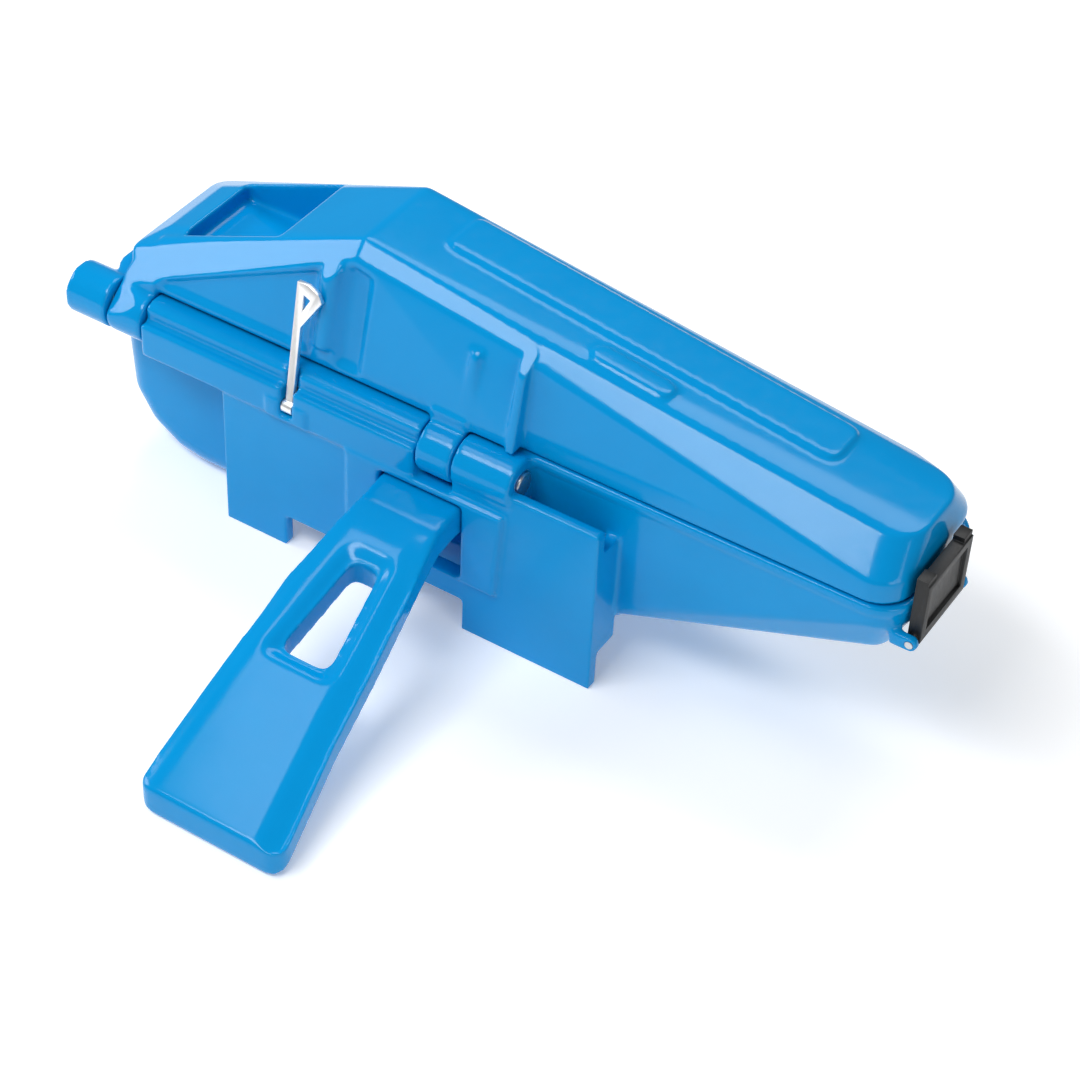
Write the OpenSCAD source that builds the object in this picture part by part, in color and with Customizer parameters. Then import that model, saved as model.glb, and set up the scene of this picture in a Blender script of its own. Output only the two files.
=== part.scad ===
// Chain cleaner for bicycles: a hinged two-part case on legs, with a folding handle, a retaining
// arm, an end latch, rotary brush wheels, wiping sponges and a magnet for the filings.
// Sizes are worked out from the hinge axis: X runs along it, from its right end towards the rear
// end for negative values and towards the nose for positive ones, Y runs away from the handle.

/* [Case] */
// Length of the base from the rear end to the nose
base_len = 226; // [215:1:235]
// Distance from the right end of the hinge to the nose of the base
nose_reach = 98; // [94:1:102]
// Width of the case at the parting line
case_w = 42; // [41:0.5:46]
// Distance from the hinge axis to the near wall of the case
case_near = 4; // [3.8:0.1:5]
// Height of the hinge axis above the ground
hinge_h = 50; // [48:0.5:54]
// Height of the parting line above the hinge axis
part_rise = 6; // [5.8:0.1:6.2]
// Gap between lid and base all round
part_gap = 0.4; // [0.3:0.05:0.5]
// Wall thickness of the mouldings
wall = 2.4; // [2:0.1:2.6]
// Radius of the soft outer edges of the case
case_r = 6; // [5:0.5:7]

/* [Lid] */
// Length by which the base stands out behind the lid
lid_setback = 4; // [3:0.5:5]
// Height of the peak of the lid above the hinge axis
peak_z = 42; // [41:0.5:46]
// Distance from the right end of the hinge back to the peak
peak_x = 54; // [52:0.5:56]
// Height of the rear end of the lid above the hinge axis
lid_rear_z = 17; // [16:0.5:19]
// Height of the lid at the nose above the hinge axis
lid_nose_z = 20.5; // [19:0.5:22]
// Radius of the upper edges of the lid
lid_r = 3.5; // [3:0.1:4]
// Depth of the fill pocket below its rear rim
pocket_drop = 5; // [3:0.5:6]
// Length of the fill pocket
pocket_len = 30; // [24:1:32]
// Diameter of the drain hole in the fill pocket
drain_d = 3; // [2:0.5:4]
// Height of the raised bare panel and plate
panel_t = 0.8; // [0.5:0.1:1.2]

/* [Hinge] */
// Outer diameter of the hinge knuckles
knuckle_d = 14; // [13.6:0.1:14.2]
// Diameter of the hinge pin
pin_d = 6.3; // [5.5:0.1:6.5]
// Running clearance of every pin, on the radius
run = 0.06; // [0.03:0.01:0.09]
// Gap between the ends of neighbouring knuckles
knuckle_gap = 0.4; // [0.3:0.05:0.5]
// Length of the left base knuckle
left_knuckle_len = 12.4; // [11:0.2:13]
// Length of the lid's left knuckle
lid_left_len = 11; // [10:0.2:12]
// Length of the lid's right knuckle
lid_right_len = 10; // [9:0.2:11]
// Length of the right base knuckle
right_knuckle_len = 16.5; // [15:0.5:18]

/* [Legs] */
// Thickness of the leg plate
leg_t = 3.3; // [3:0.1:4]
// Width of the left leg
left_leg_w = 19.3; // [16:0.5:22]
// Width of the right leg
right_leg_w = 37.5; // [34:0.5:40]
// Gap between the two legs
leg_gap = 54; // [52:0.5:56]
// Height of the web between the legs above the ground
web_clear = 9.5; // [8:0.5:11]

/* [Handle] */
// Width of the handle at its neck
neck_w = 23.5; // [20:0.5:25]
// Width of the handle at its tip
tip_w = 41; // [38:0.5:43]
// Thickness of the handle
handle_t = 8.5; // [7.5:0.1:9]
// Reach of the handle from the hinge axis
handle_reach = 99; // [92:1:104]
// Length of the finger slot along the handle
finger_len = 26; // [22:1:28]
// Width of the finger slot at its wide end
finger_w = 13.5; // [11:0.5:15]
// Diameter of the handle's pivot pin
handle_pin_d = 4; // [3:0.5:4]

/* [Arm and latch] */
// Length of the retaining arm above its pivot
arm_h = 35; // [32:0.5:38]
// Angle at which the arm leans back against the lid, in degrees
arm_lean = 10.5; // [8:0.5:11]
// Width of the arm's bar
arm_w = 2.2; // [2:0.1:3]
// Thickness of the arm's plate
arm_t = 1.4; // [1:0.1:1.6]
// Width of the arm's head
arm_head = 7.5; // [6.5:0.5:9]
// Width of the latch
latch_w = 22.2; // [20:0.2:22.6]
// Height of the latch
latch_h = 18.4; // [17:0.2:19]
// Thickness of the latch
latch_t = 3.4; // [3:0.1:3.8]
// Width of the latch's raised frame
latch_rim = 2.2; // [1.8:0.1:2.8]

/* [Chain and brushes] */
// Distance of the chain's centre line from the hinge axis
chain_y = 36.2; // [36:0.1:36.6]
// Width of the chain's way through the case
chain_w = 8.8; // [8:0.1:9]
// Height of the chain's way through the case
chain_h = 9; // [8.4:0.1:9.4]
// Radius of the lower brush wheels
low_r = 16; // [14:0.5:16.5]
// Radius of the upper brush wheels
up_r = 10; // [9:0.25:10]
// Distance between the axles of the lower brush wheels
low_pitch = 36; // [34.5:0.5:37]
// Distance between the axles of the upper brush wheels
up_pitch = 26; // [22:0.5:27]
// Diameter of the brush axles
axle_d = 3; // [2.5:0.1:3.5]
// Width of the lower brush wheels
low_wheel_w = 10; // [8:0.5:10]
// Width of the upper brush wheels
up_wheel_w = 8; // [7:0.5:8]
// Gap between parts that move past each other
gap = 0.4; // [0.3:0.05:0.5]

/* [Sponges and magnet] */
// Length of each wiping sponge
sponge_len = 44; // [36:1:46]
// Width of each wiping sponge
sponge_w = 8; // [7:0.25:8]
// Thickness of the sponge tray's walls
tray_t = 1.4; // [1.2:0.1:1.6]
// Length of the magnet
magnet_len = 30; // [24:1:34]
// Width of the magnet
magnet_w = 10; // [8:0.5:11]
// Thickness of the magnet
magnet_t = 4; // [3:0.5:5]
// Thread diameter of the small screws
screw_d = 2.4; // [2:0.1:2.6]

/* [Hidden] */
$fn = 48;
hull_fn = 32;
over = 1;
// Slivers, snug fits and seats that many pieces share
tiny = 0.01;
snug = 0.2;
seat_gap = 0.3;
blue = [0, 0.53, 0.86];
black = [0.05, 0.05, 0.05];
steel = [0.8, 0.8, 0.82];
dark_blue = [0, 0.4, 0.68];

// Case
rear_x = nose_reach - base_len;
far_y = case_near + case_w;
ground_z = -hinge_h;
part_z = part_rise;
lid_z = part_z + part_gap;
nose_r = 1.6 * case_r;
pin_r = pin_d / 2;
knuckle_r = knuckle_d / 2;
rail_sweep = knuckle_r + gap;
floor_z = ground_z + wall;
rim_out = 0.8;
rim_drop = 1.2;
rail_foot = 0.5;

// Belly: its long flat bottom, its rise to the nose and the round rear corner
belly_r = 8;
belly_rear_r = 26;
belly_rear_z = -14;
belly_flat_x = -0.07 * base_len;
belly_mid_x = 0.088 * base_len;
belly_mid_z = -0.775 * hinge_h;
nose_low_x = nose_reach - 0.5 * belly_r;
nose_low_z = -0.255 * hinge_h;

// Lid
lid_rear_x = rear_x + lid_setback;
lid_nose_x = nose_reach - 1;
peak = -peak_x;
rear_top_inset = 8;
near_ridge_in = 8.5;
far_ridge_in = 5.8;
near_ridge_y = case_near + near_ridge_in;
far_ridge_y = far_y - far_ridge_in;
far_shoulder_z = part_z + 0.55 * (peak_z - part_z);
front_near_y = 0.7;
front_ridge_in = 3.5;
front_rise = 0.6;
front_ridge_y = case_near + front_ridge_in;
front_z = knuckle_r + front_rise;
front_end_x = -3;
front_end_z = peak_z - 0.147 * (peak_x + front_end_x);
slope = (peak_z - lid_nose_z) / (peak_x + lid_nose_x);
slope_angle = atan(slope);

// Hinge, from the left end to the right end
right_x = 0;
rail_x1 = -right_knuckle_len - lid_right_len - 2 * knuckle_gap;
lid_right_x0 = -right_knuckle_len - knuckle_gap - lid_right_len;
left_out = 6.6;
left_x0 = rear_x - left_out;
left_x1 = left_x0 + left_knuckle_len;
lid_left_x0 = left_x1 + knuckle_gap;
lid_left_x1 = lid_left_x0 + lid_left_len;
rail_x0 = lid_left_x1 + knuckle_gap;
pin_end = 0.6;
web_t = 2;
pin_blind = 2;
ledge_z = 2.2;
ledge_wall = 1;

// Legs and the front plate, whose outer face lies just behind the knuckles' front
plate_in = 1;
plate_y0 = -knuckle_r + plate_in;
plate_y1 = plate_y0 + leg_t;
right_leg_x0 = -12.5;
right_leg_x1 = right_leg_x0 + right_leg_w;
left_leg_x1 = right_leg_x0 - leg_gap;
left_leg_x0 = left_leg_x1 - left_leg_w;
web_z = ground_z + web_clear;
foot = [(right_leg_x0 + right_leg_x1) / 2, (plate_y0 + plate_y1) / 2];

// Box and window round the handle's neck
neck_x = -24.8;
box_t = 1.6;
window_w = neck_w + 2 * gap;
window_drop = 1.8;
window_z1 = -knuckle_r - window_drop;
window_z0 = -32;
box_side = 10;
box_x0 = neck_x - window_w / 2 - box_side;
box_x1 = -1;
box_z0 = window_z0 - 1;

// Handle: pivot, profile points from the neck to the tip
handle_py = 0.6;
handle_pz = window_z1 - 0.6 * handle_t;
handle_pin_r = handle_pin_d / 2;
eye_wall = 2.2;
eye_r = handle_pin_r + eye_wall;
well_y = handle_py + eye_r + over;
ear_t = 3;
clip_t = 0.8;
clip_w = 1.2;
clip_gap = 0.1;
handle_ear_x0 = neck_x - window_w / 2 - ear_t;
handle_ear_x1 = neck_x + window_w / 2 + ear_t;
bend_y = -16;
bend_z = window_z1 - 1.2;
tip_z = ground_z + handle_t;

// Arm
arm_in = 1.7;
arm_y = -knuckle_r + arm_in;
arm_z = -3.6;
arm_off = 3.85;
arm_x = (rail_x0 + rail_x1) / 2 + arm_off;
arm_pin_r = 1;
boss_deep = 3;
boss_top = 1.8;
boss_end = 1.5;
arm_eye_r = 1.8;
arm_eye_len = 3.2;
arm_head_len = 12;
arm_boss_x0 = arm_x - 6;
arm_boss_x1 = arm_x + 6;
boss_proud = 0.6;
arm_boss_y = -knuckle_r - boss_proud;

// Latch
latch_y0 = 9;
latch_y1 = latch_y0 + latch_w;
latch_x0 = nose_reach + gap;
latch_x1 = latch_x0 + latch_t;
latch_z0 = -4.6;
latch_z1 = latch_z0 + latch_h;
latch_pin_r = 1;
latch_px = (latch_x0 + latch_x1) / 2;
latch_eye_r = 1.9;
latch_pz = latch_z0 + latch_eye_r;
latch_root = 3;
latch_tab = 1.4;
latch_tab_w = 4;
latch_recess = 0.9;
latch_ear_w = 2.4;

// Chain and brushes
chain_z = part_z;
chain_z0 = chain_z - chain_h / 2;
chain_z1 = chain_z + chain_h / 2;
low_z = chain_z0 - seat_gap - low_r;
up_z = chain_z1 + seat_gap + up_r;
low_back = 34;
up_back = 66;
low_x0 = rear_x + low_back;
up_x0 = rear_x + up_back;
low_x = [low_x0, low_x0 + low_pitch, low_x0 + 2 * low_pitch];
up_x = [up_x0, up_x0 + up_pitch];
axle_r = axle_d / 2;
hub_r = axle_r + 2.6;
cheek_t = 1.6;
cheek_rear = 9;
cheek_front = 6;
cheek_edge = 1;
foot_w = 5;
bar_t = 2;
cheek_in = low_wheel_w / 2 + gap;
cheek_near = chain_y - cheek_in - cheek_t;
cheek_far = chain_y + cheek_in + cheek_t;
up_rib_t = 1.6;
up_rib_in = up_wheel_w / 2 + gap;

// Sponges, with the tray in the nose of the base and the holder in the nose of the lid
sponge_back = 70;
sponge_x0 = nose_reach - sponge_back;
sponge_x1 = sponge_x0 + sponge_len;
low_sponge_h = 9;
tray_z = chain_z0 - seat_gap - low_sponge_h;
holder_drop = 7;

// Magnet in the floor of the tank
magnet_back = 70;
magnet_in = 15;
magnet_x = rear_x + magnet_back;
magnet_y = case_near + magnet_in;
magnet_z = floor_z + seat_gap;
cover_t = 1.4;
screw_r = screw_d / 2;
screw_bite = 3.5;
head_drop = 0.4;

// Places the part with the centre of the right foot at the origin
module place() {
    translate([-foot[0], -foot[1], hinge_h]) children();
}

// Cylinder along X from x0 to x1
module rod_x(x0, x1, r) {
    translate([x0, 0, 0]) rotate([0, 90, 0]) cylinder(h = x1 - x0, r = r);
}

// Cylinder along Y from y0 to y1
module rod_y(y0, y1, r) {
    translate([0, y0, 0]) rotate([-90, 0, 0]) cylinder(h = y1 - y0, r = r);
}

// Box from its lowest to its highest corner
module block(a, b) {
    translate(a) cube([b[0] - a[0], b[1] - a[1], b[2] - a[2]]);
}

// Plate in the X-Z plane from an outline, between y0 and y1
module plate_y(y0, y1) {
    translate([0, y1, 0]) rotate([90, 0, 0]) linear_extrude(height = y1 - y0) children();
}

// Corner points of a rectangle with rounded corners, one radius for each corner
function arc_pts(c, r, a0, a1, n = 8) =
    [for (i = [0:n]) c + r * [cos(a0 + (a1 - a0) * i / n), sin(a0 + (a1 - a0) * i / n)]];
function rounded(x0, x1, y0, y1, ra, rb) = concat(
    arc_pts([x1 - rb, y1 - rb], rb, 0, 90), arc_pts([x0 + ra, y1 - ra], ra, 90, 180),
    arc_pts([x0 + ra, y0 + ra], ra, 180, 270), arc_pts([x1 - rb, y0 + rb], rb, 270, 360));

// Rear half of the base: the deep tank
module tank_form(inset, top) {
    r = belly_r - inset;
    near = case_near + belly_r;
    far = far_y - belly_r;
    hull() {
        for (y = [near, far]) {
            translate([rear_x + belly_r, y, belly_rear_z]) sphere(r = r, $fn = hull_fn);
            translate([rear_x + belly_r, y, part_z]) cylinder(h = top, r = r, $fn = hull_fn);
            for (a = [20, 45, 70])
                translate([rear_x + belly_rear_r - (belly_rear_r - belly_r) * cos(a), y,
                    ground_z + belly_rear_r - (belly_rear_r - belly_r) * sin(a)])
                    sphere(r = r, $fn = hull_fn);
            translate([rear_x + belly_rear_r, y, ground_z + belly_r]) sphere(r = r, $fn = hull_fn);
            translate([belly_flat_x, y, ground_z + belly_r]) sphere(r = r, $fn = hull_fn);
            translate([belly_mid_x, y, belly_mid_z + belly_r]) sphere(r = r, $fn = hull_fn);
            translate([belly_mid_x + belly_r, y, part_z]) cylinder(h = top, r = r, $fn = hull_fn);
        }
    }
}

// Front half of the base: it rises to the nose
module nose_form(inset, top) {
    r = case_r - inset;
    hull() {
        for (y = [case_near + case_r, far_y - case_r]) {
            translate([belly_mid_x, y, belly_mid_z + belly_r]) sphere(r = r, $fn = hull_fn);
            translate([belly_mid_x, y, part_z]) cylinder(h = top, r = r, $fn = hull_fn);
        }
        for (y = [case_near + nose_r, far_y - nose_r]) {
            translate([nose_low_x - case_r, y, nose_low_z + case_r]) sphere(r = r, $fn = hull_fn);
            translate([nose_reach - nose_r, y, part_z - case_r])
                cylinder(h = case_r + top, r = nose_r - inset, $fn = hull_fn);
        }
    }
}

// Outer form of the lid, without the step over the hinge
module lid_form(inset, drop) {
    r = lid_r - inset;
    hull() {
        for (y = [case_near + case_r, far_y - case_r])
            translate([lid_rear_x + case_r, y, lid_z - drop])
                cylinder(h = part_rise + drop, r = case_r - inset, $fn = hull_fn);
        for (y = [case_near + nose_r, far_y - nose_r])
            translate([lid_nose_x - nose_r, y, lid_z - drop])
                cylinder(h = part_rise + drop, r = nose_r - inset, $fn = hull_fn);
        for (x = [lid_rear_x + rear_top_inset])
            for (y = [near_ridge_y + lid_r, far_ridge_y - lid_r])
                translate([x, y, lid_rear_z - lid_r]) sphere(r = r, $fn = hull_fn);
        for (y = [near_ridge_y - 4 + lid_r, far_ridge_y - lid_r])
            translate([peak, y, peak_z - lid_r]) sphere(r = r, $fn = hull_fn);
        for (y = [near_ridge_y + nose_r, far_ridge_y - nose_r])
            translate([lid_nose_x - 2 - nose_r, y, lid_nose_z - nose_r * 0.5])
                cylinder(h = nose_r * 0.5 - inset, r = nose_r - inset, $fn = hull_fn);
        translate([peak, far_y - case_r, far_shoulder_z]) sphere(r = case_r - inset, $fn = hull_fn);
        translate([lid_nose_x - 3 * case_r, far_y - case_r, lid_nose_z - case_r])
            sphere(r = case_r - inset, $fn = hull_fn);
    }
}

// Wider step of the lid over the hinge, from near the rear end to the stiff rib
module step_form(inset, drop) {
    r = lid_r - inset;
    x0 = lid_rear_x + case_r + lid_r;
    hull() {
        for (x = [x0, front_end_x - lid_r])
            translate([x, front_near_y + lid_r, front_z - drop]) cylinder(h = lid_r + drop, r = r, $fn = hull_fn);
        translate([x0, front_ridge_y + lid_r, lid_rear_z - lid_r]) sphere(r = r, $fn = hull_fn);
        translate([peak, front_ridge_y + lid_r, peak_z - lid_r]) sphere(r = r, $fn = hull_fn);
        translate([front_end_x - lid_r, front_ridge_y + lid_r, front_end_z - lid_r])
            sphere(r = r, $fn = hull_fn);
        translate([x0, near_ridge_y + case_r, front_z - drop]) cylinder(h = lid_r + drop, r = r, $fn = hull_fn);
        translate([front_end_x - lid_r, near_ridge_y + case_r, front_z - drop])
            cylinder(h = lid_r + drop, r = r, $fn = hull_fn);
        translate([peak, near_ridge_y + case_r, peak_z - lid_r]) sphere(r = r, $fn = hull_fn);
        translate([front_end_x - lid_r, near_ridge_y + case_r, front_end_z - lid_r])
            sphere(r = r, $fn = hull_fn);
    }
}

// Way of the chain through both end walls
module chain_way(z0, z1) {
    block([rear_x - over, chain_y - chain_w / 2, z0], [rear_x + case_r + belly_r, chain_y + chain_w / 2, z1]);
    block([lid_nose_x - 2 * nose_r, chain_y - chain_w / 2, z0],
        [nose_reach + over, chain_y + chain_w / 2, z1]);
}

// Front plate with its two legs, and the raised box round the handle's window
module front_plate() {
    plate_y(plate_y0, plate_y1) polygon([
        [left_leg_x0, -knuckle_r], [left_leg_x0, ground_z], [left_leg_x1, ground_z],
        [left_leg_x1, web_z], [right_leg_x0, web_z], [right_leg_x0, ground_z],
        [right_leg_x1, ground_z], [right_leg_x1, 0], [right_x, 0], [right_x, -knuckle_r]]);
    plate_y(plate_y0 - box_t, plate_y0 + over) polygon([
        [box_x0, -knuckle_r], [box_x0, box_z0], [box_x1 - box_t, box_z0], [box_x1, -knuckle_r]]);
    for (x = [left_leg_x0, left_leg_x1 - leg_t, right_leg_x1 - leg_t])
        block([x, plate_y1 - over, web_z], [x + leg_t, case_near + over, -knuckle_r]);
}

// Ears that carry the handle's pin between the plate and the tank
module handle_ears() {
    for (x = [handle_ear_x0, handle_ear_x1 - ear_t])
        block([x, plate_y1 - over, handle_pz - eye_r - over], [x + ear_t, case_near + wall, -knuckle_r]);
}

// Wall of the well behind the handle's eye, inside the tank
module handle_well() {
    block([handle_ear_x0, case_near, window_z0 - wall], [handle_ear_x1, well_y + wall, -knuckle_r + over]);
}

module base_housing() {
    place() color(blue) difference() {
        union() {
            difference() {
                union() {
                    tank_form(0, tiny);
                    nose_form(0, tiny);
                    translate([0, 0, part_z - wall]) linear_extrude(height = wall)
                        polygon(rounded(rear_x - rim_out, nose_reach + snug, case_near - gap, far_y + rim_out,
                            case_r + rim_out, nose_r));
                }
                tank_form(wall, over);
                nose_form(wall, over);
            }
            intersection() {
                tank_form(0, tiny);
                union() {
                    rod_x(lid_left_x0 - wall, lid_left_x1 + wall, rail_sweep + wall);
                    rod_x(lid_right_x0 - wall, rail_x1 + lid_right_len + wall, rail_sweep + wall);
                    handle_well();
                }
            }
            hinge_rail();
            front_plate();
            latch_ears();
            handle_ears();
        }
        for (x = [lid_left_x0, lid_right_x0])
            rod_x(x - knuckle_gap, x + (x == lid_left_x0 ? lid_left_len : lid_right_len) + knuckle_gap,
                rail_sweep);
        block([neck_x - window_w / 2, plate_y0 - box_t - over, window_z0],
            [neck_x + window_w / 2, well_y, window_z1]);
        translate([0, handle_py, handle_pz])
            rod_x(handle_ear_x0 + tiny, handle_ear_x1 + over, handle_pin_r + run);
        rod_x(left_x0 + pin_blind, right_x + over, pin_r + run);
        block([rail_x0 - over, -knuckle_r - over, ledge_z], [rail_x1 + over, -pin_r - ledge_wall, knuckle_r + over]);
        arm_slot();
        chain_way(chain_z0, part_z + over);
        latch_seat();
    }
}

// Rail, knuckles and the boss that carries the arm
module hinge_rail() {
    rod_x(left_x0, left_x1, knuckle_r);
    block([rear_x - rim_out, 0, -knuckle_r + web_t], [left_x1, case_near + over, part_z - rim_drop]);
    rod_x(rail_x0, rail_x1, knuckle_r);
    block([rail_x0, -knuckle_r, -knuckle_r - rail_foot], [rail_x1, 0, ledge_z]);
    block([rail_x0, 0, -knuckle_r - rail_foot], [rail_x1, case_near + wall, part_z - rim_drop]);
    rod_x(-right_knuckle_len, right_x, knuckle_r);
    block([-right_knuckle_len, 0, -knuckle_r], [right_x, case_near + wall, part_z - rim_drop]);
    block([-right_knuckle_len, plate_y0, -knuckle_r - over], [right_x, 0, 0]);
    block([arm_boss_x0, arm_boss_y, -knuckle_r - rail_foot], [arm_boss_x1, -knuckle_r + boss_deep, arm_z + boss_top]);
}

// Slot for the arm's foot and the bore of its pin
module arm_slot() {
    block([arm_x - arm_eye_len / 2 - seat_gap, arm_boss_y - over, arm_z - arm_eye_r - rail_foot],
        [arm_x + arm_eye_len / 2 + seat_gap, arm_y + arm_eye_r + seat_gap, knuckle_r + over]);
    block([arm_x - arm_eye_len / 2 - seat_gap, arm_y, pin_r + snug],
        [arm_x + arm_eye_len / 2 + seat_gap, arm_y + arm_in + boss_top - snug, knuckle_r + over]);
    translate([0, arm_y, arm_z]) rod_x(arm_boss_x0 + boss_end, arm_boss_x1 + over, arm_pin_r + run);
}

// Ears for the latch's pin, beside the latch
module latch_ears() {
    for (y = [latch_y0 - gap - latch_ear_w, latch_y1 + gap]) {
        block([nose_reach - latch_root, y, latch_z0], [latch_px, y + latch_ear_w, latch_pz + latch_eye_r]);
        translate([latch_px, 0, latch_pz]) rod_y(y, y + latch_ear_w, latch_eye_r);
    }
}

// Flat seat behind the latch and the bore through its ears
module latch_seat() {
    block([nose_reach + tiny, latch_y0 - gap, latch_z0 - 2 * over],
        [nose_reach + 3 * over, latch_y1 + gap, part_z + over]);
    translate([latch_px, 0, latch_pz])
        rod_y(latch_y0 - gap - latch_ear_w - over, latch_y1 + gap + latch_ear_w + over, latch_pin_r);
}

// Fill pocket in the rear slope of the lid
pocket_back = 14;
pocket_side = 1.2;
pocket_x0 = lid_rear_x + pocket_back;
pocket_x1 = pocket_x0 + pocket_len;
pocket_y0 = near_ridge_y;
pocket_y1 = far_ridge_y - pocket_side;
pocket_z = lid_rear_z + (pocket_x0 - lid_rear_x - rear_top_inset) * (peak_z - lid_rear_z)
    / (peak - lid_rear_x - rear_top_inset) - pocket_drop;
module pocket_form(grow) {
    block([pocket_x0 - grow, pocket_y0 - grow, pocket_z - grow],
        [pocket_x1 + grow, pocket_y1 + grow, peak_z]);
}

// Bare raised panel and plate on the long slope
panel_start = 16;
panel_len = 108;
panel_y0 = near_ridge_y + 11;
panel_y1 = far_ridge_y - 3.5;
module slope_panels() {
    translate([peak, 0, peak_z]) rotate([0, slope_angle, 0]) {
        translate([panel_start, panel_y0, -over]) linear_extrude(height = over + panel_t)
            polygon(rounded(0, panel_len, 0, panel_y1 - panel_y0, 1.5, 3));
        translate([panel_start + 46, panel_y0 - 9.5, -over]) linear_extrude(height = over + panel_t)
            polygon(rounded(0, 22, 0, 5.5, 2.7, 2.7));
    }
}

// Upright ribs and the arched pilaster behind the arm, on the near side of the lid
rib_t = 2.6;
rib_out = 1.3;
pilaster_r = 3;
function step_top(x) = peak_z - slope * (x - peak);
module lid_ribs() {
    for (rib = [[-19, 8, 0.6], [front_end_x - rib_t, 0.4, 1]]) {
        top = step_top(rib[0]) - rib[1];
        y1 = front_near_y + (front_ridge_y - front_near_y) * (top - front_z) / (peak_z - front_z);
        translate([rib[0], 0, 0]) rotate([90, 0, 90]) linear_extrude(height = rib_t) polygon([
            [front_near_y - rib_out * rib[2], front_z], [front_near_y + wall, front_z],
            [y1 + wall + rib_out, top - wall], [y1 + rib_out, top], [y1 - rib_out * rib[2], top - rib_out]]);
    }
    translate([arm_x + 5.5, front_near_y + 1.4, front_z + 5.5]) rotate([-pilaster_lean, 0, 0]) {
        cylinder(h = pilaster_h, r = pilaster_r);
        translate([0, 0, pilaster_h]) sphere(r = pilaster_r);
    }
}
pilaster_h = 21;
pilaster_lean = atan((front_ridge_y - front_near_y) / (peak_z - front_z));

// Knuckle of the lid with its web up to the wall
module lid_knuckle(x0, len) {
    rod_x(x0, x0 + len, knuckle_r);
    block([x0, -over, 0], [x0 + len, front_near_y + wall, lid_z + tiny]);
    block([x0, 0, lid_z], [x0 + len, case_near + wall, front_z + 3]);
}

module lid_housing() {
    place() color(blue) difference() {
        union() {
            difference() {
                union() {
                    lid_form(0, 0);
                    step_form(0, 0);
                    lid_ribs();
                    slope_panels();
                }
                lid_form(wall, over);
                step_form(wall, over);
            }
            intersection() {
                lid_form(2 * tiny, 0);
                union() {
                    pocket_form(wall);
                    upper_ribs();
                    holder_posts();
                }
            }
            lid_knuckle(lid_left_x0, lid_left_len);
            lid_knuckle(lid_right_x0, lid_right_len);
        }
        pocket_form(0);
        translate([pocket_x1 - 4, pocket_y0 + 5, pocket_z - 2 * wall]) cylinder(h = 3 * wall, d = drain_d);
        rod_x(lid_left_x0 - over, rail_x1 + lid_right_len + 2, pin_r + run);
        for (x = up_x) translate([x, 0, up_z])
            rod_y(chain_y - up_rib_in - up_rib_t - over, far_y - wall, axle_r);
        chain_way(lid_z - over, chain_z1);
        for (x = holder_screw_x) translate([x, chain_y, holder_top(x) - over])
            cylinder(h = screw_bite + 2 * over, r = screw_r);
    }
}

// Moulded rib and far bosses that hold the upper axles
module upper_ribs() {
    y1 = chain_y - up_rib_in;
    block([up_x[0] - hub_r - 3, y1 - up_rib_t, up_z - hub_r], [up_x[1] + hub_r + 3, y1, peak_z]);
    for (x = up_x) translate([x, 0, up_z]) rod_y(chain_y + up_rib_in, far_y, hub_r);
}

// Level of the holder's top plate under the sloping lid, and the posts above it
screw_inset = 6;
holder_screw_x = [sponge_x0 + screw_inset, sponge_x1 - screw_inset];
holder_t = 1;
post_r = 3;
function lid_top(x) = lid_nose_z + slope * (lid_nose_x - x);
function holder_top(x) = lid_top(x) - holder_drop;
module holder_posts() {
    for (x = holder_screw_x) translate([x, chain_y, holder_top(x) + slope * post_r + 2 * tiny])
        cylinder(h = 3 * holder_drop, r = post_r);
}

module hinge_pin() {
    place() color(steel) rod_x(left_x0 + pin_blind + snug, right_x + pin_end, pin_r);
}

// Outline of the handle from above: [y, left x, right x]
handle_rows = [
    [handle_py, neck_x - neck_w / 2, neck_x + neck_w / 2],
    [bend_y, neck_x - neck_w / 2, neck_x + neck_w / 2],
    [0.41 * -handle_reach, neck_x - 0.68 * neck_w, neck_x + 0.66 * neck_w],
    [0.7 * -handle_reach, neck_x - 0.7 * neck_w, neck_x - 0.7 * neck_w + 0.88 * tip_w],
    [-handle_reach, neck_x - 0.69 * neck_w, neck_x - 0.69 * neck_w + tip_w]];
handle_tip_r = 4;
module handle_outline() {
    l = [for (r = handle_rows) [r[1], r[0]]];
    rr = [for (i = [len(handle_rows) - 1:-1:0]) [handle_rows[i][2], handle_rows[i][0]]];
    n = len(handle_rows) - 1;
    left = [for (i = [0:n - 1]) l[i]];
    right = [for (i = [1:n]) rr[i]];
    polygon(concat(left,
        arc_pts(l[n] + [handle_tip_r, handle_tip_r], handle_tip_r, 180, 270),
        arc_pts(rr[0] + [-handle_tip_r, handle_tip_r], handle_tip_r, 270, 360), right));
}

// Side profile of the handle, [y, z] of its upper face from the eye to the tip
top_line = [
    [handle_py, handle_pz + handle_t / 2], [-9, handle_pz + handle_t / 2 - snug], [bend_y, bend_z - 0.8],
    [-24, bend_z - 3.4], [0.5 * -handle_reach, bend_z - 14], [-handle_reach, tip_z]];
module handle_profile() {
    n = len(top_line) - 1;
    polygon(concat(top_line, [for (i = [n:-1:0]) [top_line[i][0], i == n ? ground_z
        : top_line[i][1] - handle_t]]));
}

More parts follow.
